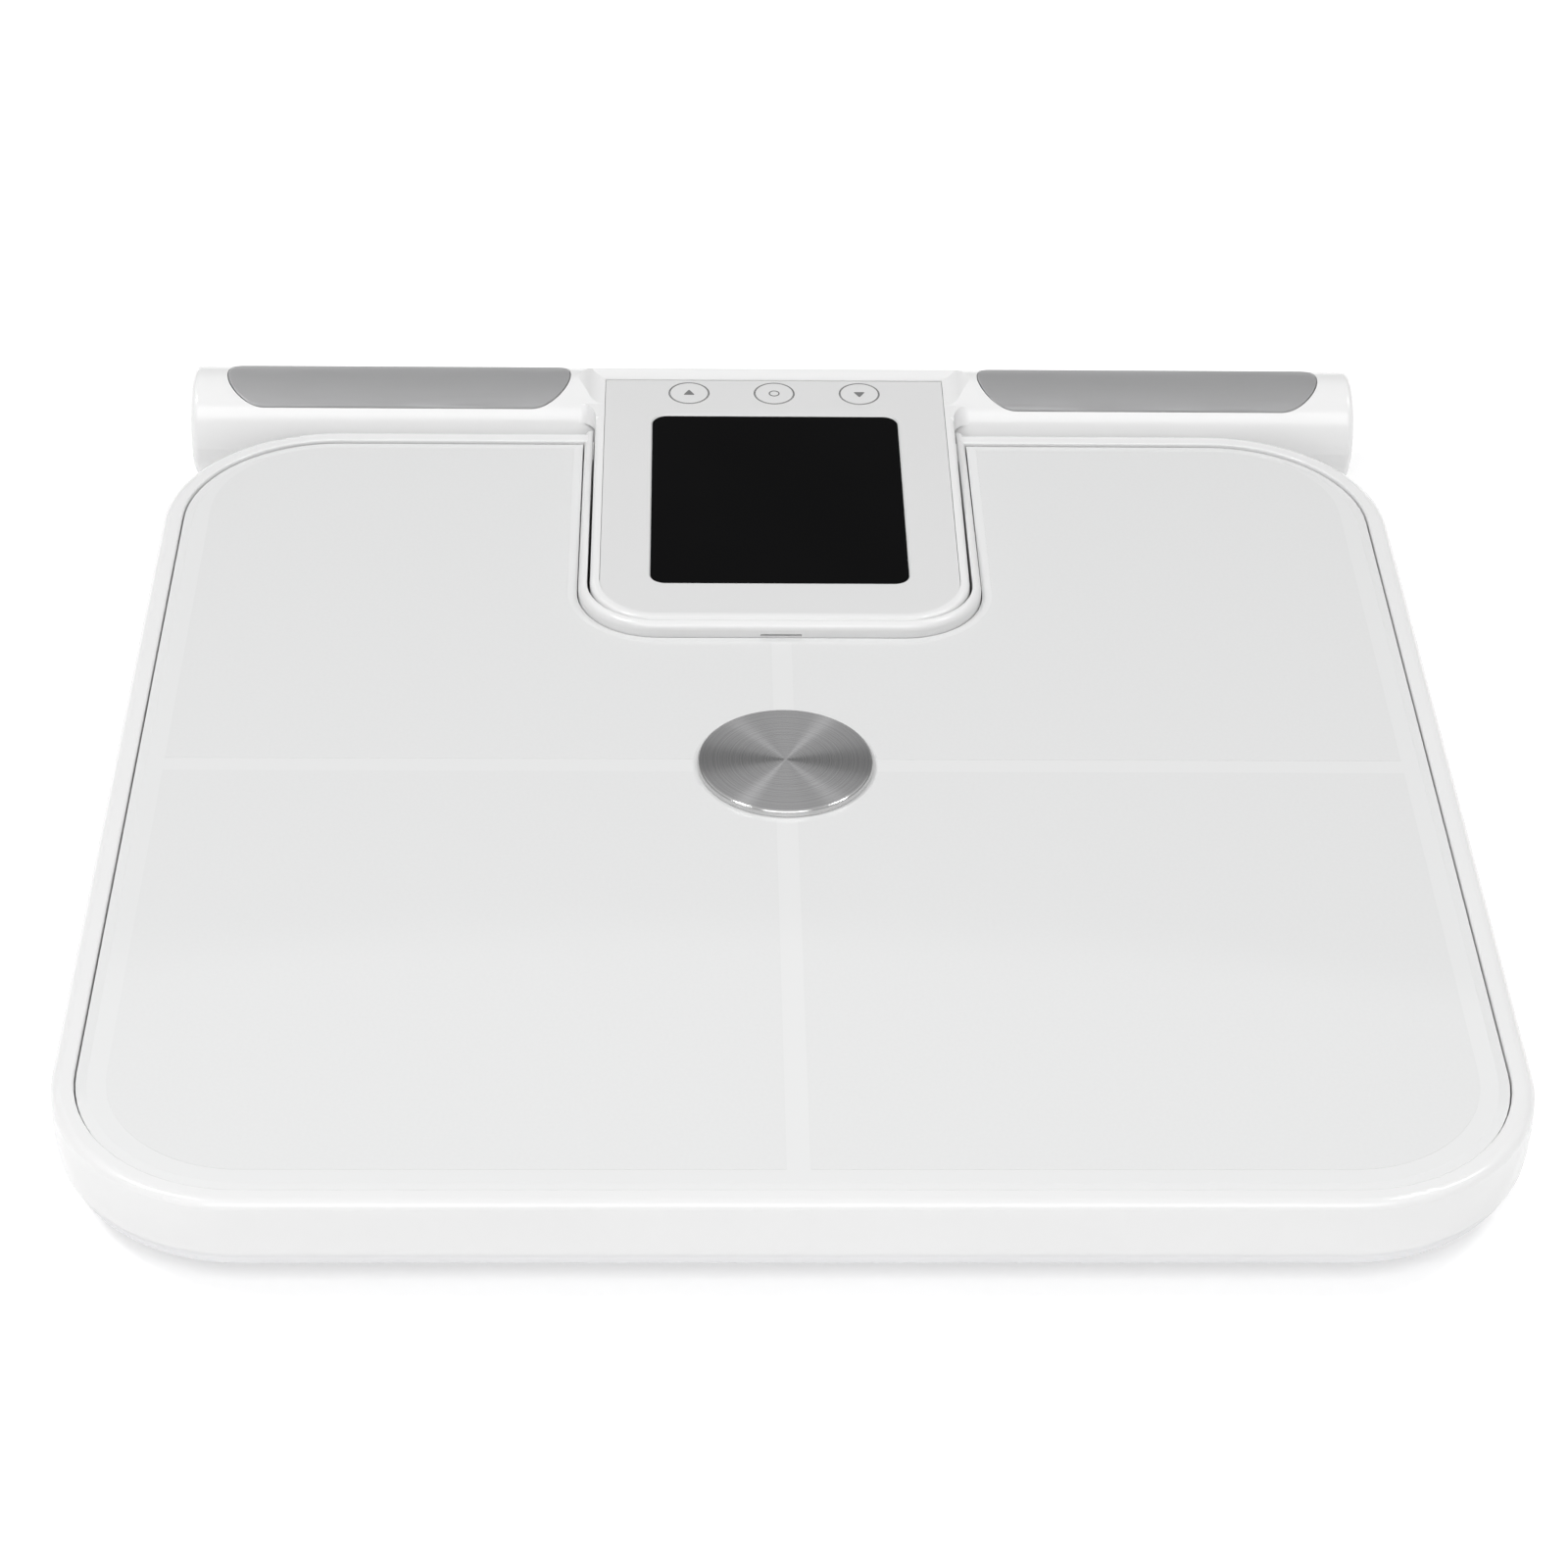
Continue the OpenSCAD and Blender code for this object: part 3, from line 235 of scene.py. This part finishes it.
def plastic(name, colour, roughness, grain=1500, depth=0.004 * MM, drift=0.012, specular=0.5, wear=0.12):
    """Moulded plastic: a faint drift of colour, gloss uneven by the fraction wear, and a fine grain."""
    drift_cells, gloss_cells = 22, 90
    material, tree, shader = new_material(name)
    vector = object_coordinates(tree)
    colours = drifting(tree, noise(tree, vector, drift_cells), colour, drift)
    smooth, rough = (1 - wear) * roughness, (1 + wear) * roughness
    gloss = spread(tree, noise(tree, vector, gloss_cells), smooth, rough, 0.2, 0.8)
    tree.links.new(colours, shader.inputs["Base Color"])
    tree.links.new(gloss, shader.inputs["Roughness"])
    tree.links.new(bump(tree, noise(tree, vector, grain), depth), shader.inputs["Normal"])
    shader.inputs["Specular IOR Level"].default_value = specular
    return material


def brushed(name, colour, roughness, stretch, scale=700, depth=0.0015 * MM, drift=0.06, anisotropy=0.0):
    """Metal with straight brush lines along the axis that stretch shrinks."""
    material, tree, shader = new_material(name)
    lines = noise(tree, object_coordinates(tree, stretch), scale, 3)
    tree.links.new(drifting(tree, lines, colour, drift), shader.inputs["Base Color"])
    tree.links.new(spread(tree, lines, 0.85 * roughness, 1.15 * roughness), shader.inputs["Roughness"])
    tree.links.new(bump(tree, lines, depth), shader.inputs["Normal"])
    shader.inputs["Metallic"].default_value = 1.0
    if anisotropy:
        along = tree.nodes.new("ShaderNodeCombineXYZ")
        along.inputs["X"].default_value = 1
        stretch_highlight(tree, shader, along.outputs["Vector"], anisotropy)
    return material


def stretch_highlight(tree, shader, tangent, anisotropy):
    """Draws the highlight out across the brush lines, which run along the tangent."""
    quarter_turn = 0.25
    tree.links.new(tangent, shader.inputs["Tangent"])
    shader.inputs["Anisotropic"].default_value = anisotropy
    shader.inputs["Anisotropic Rotation"].default_value = quarter_turn


# ---- Materials, one for each slot of the record ----

def polished(name, low, high, cells, dullest):
    """Glass over its print, or a clear coating on it: faint wiping marks change only the gloss."""
    wiping, wiping_cells = (1, 0.2, 1), 35
    material, tree, shader = new_material(name)
    colours = shade(tree, noise(tree, object_coordinates(tree), cells), low, high)
    marks = noise(tree, object_coordinates(tree, wiping), wiping_cells, 4)
    tree.links.new(colours, shader.inputs["Base Color"])
    tree.links.new(spread(tree, marks, 0.02, dullest), shader.inputs["Roughness"])
    return material


def spun_steel():
    """Steel with circular brushing round the disc's own centre, and a polished edge."""
    ring_cells, ring_depth = 3200, 0.001 * MM
    polish_start, polish_end = 0.9 * MM, 0.6 * MM
    face_roughness, edge_roughness = 0.23, 0.22
    material, tree, shader = new_material("spun_steel")
    low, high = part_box("centre_disc")
    radius = (high.x - low.x) / 2
    distance = distance_from_origin(tree, object_coordinates(tree, (1, 1, 0), centre("centre_disc")))
    rings = tree.nodes.new("ShaderNodeTexNoise")
    rings.noise_dimensions = "1D"
    rings.inputs["Scale"].default_value = ring_cells
    rings.inputs["Detail"].default_value = 2
    tree.links.new(distance, rings.inputs["W"])
    face = shade(tree, rings.outputs["Fac"], (0.55, 0.55, 0.555), (0.69, 0.69, 0.695))
    polish = spread(tree, distance, 0, 1, radius - polish_start, radius - polish_end)
    blend = tree.nodes.new("ShaderNodeMix")
    blend.data_type = "RGBA"
    # a Mix node's colour sockets share their names with its number sockets, so they go by place
    share, inner, outer, result = blend.inputs[0], blend.inputs[6], blend.inputs[7], blend.outputs[2]
    outer.default_value = (0.66, 0.66, 0.66, 1)
    tree.links.new(polish, share)
    tree.links.new(face, inner)
    tree.links.new(result, shader.inputs["Base Color"])
    roughness = spread(tree, polish, face_roughness, edge_roughness, 0, 1)
    tree.links.new(roughness, shader.inputs["Roughness"])
    tree.links.new(bump(tree, rings.outputs["Fac"], ring_depth), shader.inputs["Normal"])
    shader.inputs["Metallic"].default_value = 1.0
    tangent = tree.nodes.new("ShaderNodeTangent")
    tangent.direction_type = "RADIAL"
    tangent.axis = "Z"
    stretch_highlight(tree, shader, tangent.outputs["Tangent"], 0.97)
    return material


def circuit_board():
    """Green solder mask with a grid of lighter tracks."""
    material, tree, shader = new_material("circuit_board")
    vector = object_coordinates(tree)
    cells = tree.nodes.new("ShaderNodeTexBrick")
    cells.inputs["Scale"].default_value = 260
    cells.inputs["Mortar Size"].default_value = 0.03
    for name in ("Color1", "Color2"):
        cells.inputs[name].default_value = (0.012, 0.11, 0.045, 1)
    cells.inputs["Mortar"].default_value = (0.05, 0.26, 0.11, 1)
    tree.links.new(vector, cells.inputs["Vector"])
    tree.links.new(cells.outputs["Color"], shader.inputs["Base Color"])
    tree.links.new(spread(tree, noise(tree, vector, 400), 0.28, 0.4), shader.inputs["Roughness"])
    return material


def battery_wrap(name, colour, band):
    """Printed sleeve of a cell, with lighter bands across its length."""
    material, tree, shader = new_material(name)
    vector = object_coordinates(tree)
    wave = tree.nodes.new("ShaderNodeTexWave")
    wave.bands_direction = "Y"
    wave.inputs["Scale"].default_value = 14
    wave.inputs["Distortion"].default_value = 0
    tree.links.new(vector, wave.inputs["Vector"])
    tree.links.new(shade(tree, wave.outputs["Fac"], colour, band, 0.86, 0.88), shader.inputs["Base Color"])
    tree.links.new(spread(tree, noise(tree, vector, 300), 0.22, 0.32), shader.inputs["Roughness"])
    return material


GLASSES = {
    "platform_glass": dict(low=(0.695, 0.697, 0.697), high=(0.705, 0.707, 0.707), cells=9, dullest=0.05),
    "electrode_film": dict(low=(0.672, 0.674, 0.674), high=(0.682, 0.684, 0.684), cells=1200, dullest=0.06),
}

PLASTICS = {
    "adhesive": dict(colour=(0.86, 0.86, 0.86), roughness=0.7, grain=900, depth=0.02 * MM),
    "white_gloss": dict(colour=(0.73, 0.73, 0.73), roughness=0.2, depth=0.002 * MM, drift=0.008),
    "base_plastic": dict(colour=(0.70, 0.70, 0.71), roughness=0.5, grain=2600, depth=0.02 * MM),
    "cup_plastic": dict(colour=(0.76, 0.76, 0.76), roughness=0.42, grain=2000, depth=0.01 * MM),
    "foot_rubber": dict(colour=(0.36, 0.37, 0.38), roughness=0.75, grain=1800, depth=0.03 * MM,
                        drift=0.04, specular=0.3),
    "bushing_rubber": dict(colour=(0.16, 0.16, 0.165), roughness=0.7, grain=1800, depth=0.02 * MM,
                           drift=0.04, specular=0.3),
    "panel_grey": dict(colour=(0.635, 0.635, 0.635), roughness=0.3, grain=1600, depth=0.0015 * MM,
                       drift=0.004, wear=0.02),
    "key_grey": dict(colour=(0.64, 0.64, 0.64), roughness=0.3, grain=1600, depth=0.0015 * MM,
                     drift=0.004, wear=0.02),
    "window_black": dict(colour=(0.003, 0.003, 0.0032), roughness=0.05, grain=700, depth=0.0004 * MM,
                         drift=0.1, specular=0.05),
    "display_glass": dict(colour=(0.30, 0.35, 0.31), roughness=0.1, grain=900, depth=0.001 * MM),
    "switch_black": dict(colour=(0.02, 0.02, 0.02), roughness=0.45, grain=1600, depth=0.01 * MM),
    # key_print also colours the dark sheets under the key gaps, which are painted shade
    "key_print": dict(colour=(0.16, 0.16, 0.16), roughness=0.5, grain=1600, depth=0.001 * MM),
}

METALS = {
    "cell_steel": dict(colour=(0.56, 0.56, 0.57), roughness=0.35, stretch=(1, 0.06, 1)),
    "spring_steel": dict(colour=(0.66, 0.66, 0.67), roughness=0.25, stretch=(1, 1, 0.1)),
    "screw_steel": dict(colour=(0.42, 0.42, 0.43), roughness=0.3, stretch=(1, 1, 0.2)),
    "magnet_nickel": dict(colour=(0.72, 0.70, 0.67), roughness=0.15, stretch=(1, 1, 1), scale=300,
                          depth=0.0008 * MM, drift=0.03),
    "satin_metal": dict(colour=(0.43, 0.43, 0.435), roughness=0.5, stretch=(0.02, 1, 1), scale=2500,
                        depth=0.0004 * MM, drift=0.03, anisotropy=0.95),
}

BATTERY_WRAPS = {
    "battery_wrap_light": dict(colour=(0.16, 0.20, 0.26), band=(0.55, 0.57, 0.6)),
    "battery_wrap_dark": dict(colour=(0.02, 0.022, 0.027), band=(0.45, 0.47, 0.5)),
}


def make_materials():
    """Returns the material of each slot."""
    made = {"spun_steel": spun_steel(), "circuit_board": circuit_board()}
    kinds = ((polished, GLASSES), (plastic, PLASTICS), (brushed, METALS), (battery_wrap, BATTERY_WRAPS))
    for make, looks in kinds:
        for slot, look in looks.items():
            made[slot] = make(slot, **look)
    return made


def dress_nodes(materials):
    """Gives every CAD node the material of its slot."""
    for part in frame["record"]["subparts"]:
        mesh = NODES[part["node"]].data
        mesh.materials.clear()
        mesh.materials.append(materials[part["material_slot"]])


# ---- Pieces ----

def finish_piece(name, shape, material, body):
    """Turns a bmesh into a piece that rides on a body."""
    bmesh.ops.recalc_face_normals(shape, faces=shape.faces)
    mesh = bpy.data.meshes.new(name)
    shape.to_mesh(mesh)
    shape.free()
    mesh.materials.append(material)
    piece = bpy.data.objects.new(name, mesh)
    bpy.context.scene.collection.objects.link(piece)
    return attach(piece, body)


def join_rings(shape, first, second):
    """Closes the gap between two rings of the same number of points with four-sided faces."""
    for k in range(len(first)):
        after = (k + 1) % len(first)
        shape.faces.new((first[k], first[after], second[after], second[k]))


class Slope:
    """The display's own frame: x to the right, y up the slope and z its normal, in metres."""
    up = Vector((0, math.cos(DISPLAY_TILT), math.sin(DISPLAY_TILT)))
    normal = Vector((0, -math.sin(DISPLAY_TILT), math.cos(DISPLAY_TILT)))

    def __init__(self, node):
        """Puts the origin in the middle of a node's top face."""
        flat_within = 0.01 * MM
        points = [v.co for v in NODES[node].data.vertices]
        top = max(p.dot(self.normal) for p in points)
        face = [p for p in points if top - p.dot(self.normal) < flat_within]
        across = [p.x for p in face]
        along = [p.dot(self.up) for p in face]
        self.origin = (Vector(((min(across) + max(across)) / 2, 0, 0))
                       + self.up * (min(along) + max(along)) / 2 + self.normal * top)

    def point(self, x, y, z):
        return self.origin + Vector((x, 0, 0)) + self.up * y + self.normal * z


def flat_print(name, slope, outline, holes, thickness, lift, body):
    """A thin plate on the display's face, with an outline and at most one hole of as many points."""
    shape = bmesh.new()
    levels = []
    for z in (lift, lift + thickness):
        levels.append([[shape.verts.new(slope.point(x, y, z)) for x, y in ring]
                       for ring in (outline, *holes)])
    for lower, upper in zip(*levels):
        join_rings(shape, lower, upper)
    for level in levels:
        if holes:
            join_rings(shape, *level)
        else:
            shape.faces.new(level[0])
    return finish_piece(name, shape, MATERIALS["key_print"], body)


def circle(radius, count=64):
    return [(radius * math.cos(math.tau * k / count), radius * math.sin(math.tau * k / count))
            for k in range(count)]


def triangle(size, turn):
    """Rounded triangle that points up the slope (turn 1) or down it (turn -1)."""
    corner, corner_steps = 0.25 * MM, 6
    points = []
    for side in range(3):
        middle = math.radians(90 + 120 * side)
        for step in range(corner_steps + 1):
            angle = middle + math.radians(-60 + 120 * step / corner_steps)
            points.append((size * math.cos(middle) + corner * math.cos(angle),
                           turn * (size * math.sin(middle) + corner * math.sin(angle))))
    return points


def key_marks():
    """A generic mark and a fine ring on each key, and a dark sheet under the gap round it, which is painted
    shade in that gap.
    """
    ink, ring, edge_margin = 0.02 * MM, 0.2 * MM, 0.02 * MM
    shade_sheet_thickness, shade_sheet_lift = 0.3 * MM, -0.4 * MM
    key_radius, hole_radius = 5.3 * MM, 5.6 * MM
    triangle_size, mark_radius, mark_inner = 1.35 * MM, 1.5 * MM, 1.1 * MM
    marks = {
        "key_up": (triangle(triangle_size, 1), []),
        "key_set": (circle(mark_radius), [circle(mark_inner)]),
        "key_down": (triangle(triangle_size, -1), []),
    }
    for key, (outline, holes) in marks.items():
        slope = Slope(key)
        flat_print(key + "_mark", slope, outline, holes, ink, 0, key)
        flat_print(key + "_ring", slope, circle(key_radius - edge_margin), [circle(key_radius - ring)],
                   ink, 0, key)
        # painted shade: a dark sheet in the print's colour below the gap between key and panel
        flat_print(key + "_painted_shade", slope, circle(hole_radius), [circle(key_radius + edge_margin)],
                   shade_sheet_thickness, shade_sheet_lift, "handle")


def stadium(straight, radius, end_steps=24):
    """Outline of two half circles whose centres lie at x = straight and x = -straight."""
    points = []
    for end in (1, -1):
        for k in range(end_steps + 1):
            angle = math.pi * (k / end_steps - 0.5)
            points.append((end * (straight + radius * math.cos(angle)), end * radius * math.sin(angle)))
    return points


def plate_profile(round_r):
    """Inset from a plate's outline and depth under its outer face, from the middle of the inner face,
    round the rolled edge, to the middle of the outer face."""
    thickness, edge, crease = 0.85 * MM, 0.3 * MM, 0.001 * MM
    arc_steps, face_steps = 6, 14
    profile = [(round_r * (1 - k / face_steps), thickness) for k in range(face_steps)]
    profile += [(0, thickness - crease)]
    profile += [(edge - edge * math.cos(a), edge - edge * math.sin(a))
                for a in (math.pi / 2 * k / arc_steps for k in range(arc_steps + 1))]
    profile += [(round_r * k / face_steps, 0) for k in range(1, face_steps + 1)]
    return profile


def hand_plate(node, up, outer, axis_y, axis_z):
    """A metal plate bent round the bar's axis, on its upper side (up 1) or lower side (up -1)."""
    weld = 0.0002 * MM
    low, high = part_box(node)
    middle, round_r = (low.x + high.x) / 2, (high.y - low.y) / 2
    straight = (high.x - low.x) / 2 - round_r
    shape = bmesh.new()
    rings = []
    for inset, depth in plate_profile(round_r):
        ring = []
        for x, y in stadium(straight, round_r - inset):
            z = math.sqrt((outer - depth) ** 2 - y * y)
            ring.append(shape.verts.new((middle + x, axis_y + y, axis_z + up * z)))
        rings.append(ring)
    for inner, beyond in zip(rings, rings[1:]):
        join_rings(shape, inner, beyond)
    bmesh.ops.remove_doubles(shape, verts=shape.verts, dist=weld)
    for face in shape.faces:
        face.smooth = True
    plate = finish_piece(node + "_plate", shape, MATERIALS["satin_metal"], "handle")
    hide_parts(node)


def hand_plates():
    """Bent metal plates with rolled edges, in place of the plain hand electrodes."""
    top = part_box("thumb_electrode_left")[1].z
    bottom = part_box("finger_electrode_left")[0].z
    outer, axis_z = (top - bottom) / 2, (top + bottom) / 2
    axis_y = centre("thumb_electrode_left").y
    for side in ("left", "right"):
        for grip, up in (("thumb", 1), ("finger", -1)):
            hand_plate(f"{grip}_electrode_{side}", up, outer, axis_y, axis_z)


aim_camera()
build_stage()
light_stage()
MATERIALS = make_materials()
dress_nodes(MATERIALS)
key_marks()
hand_plates()
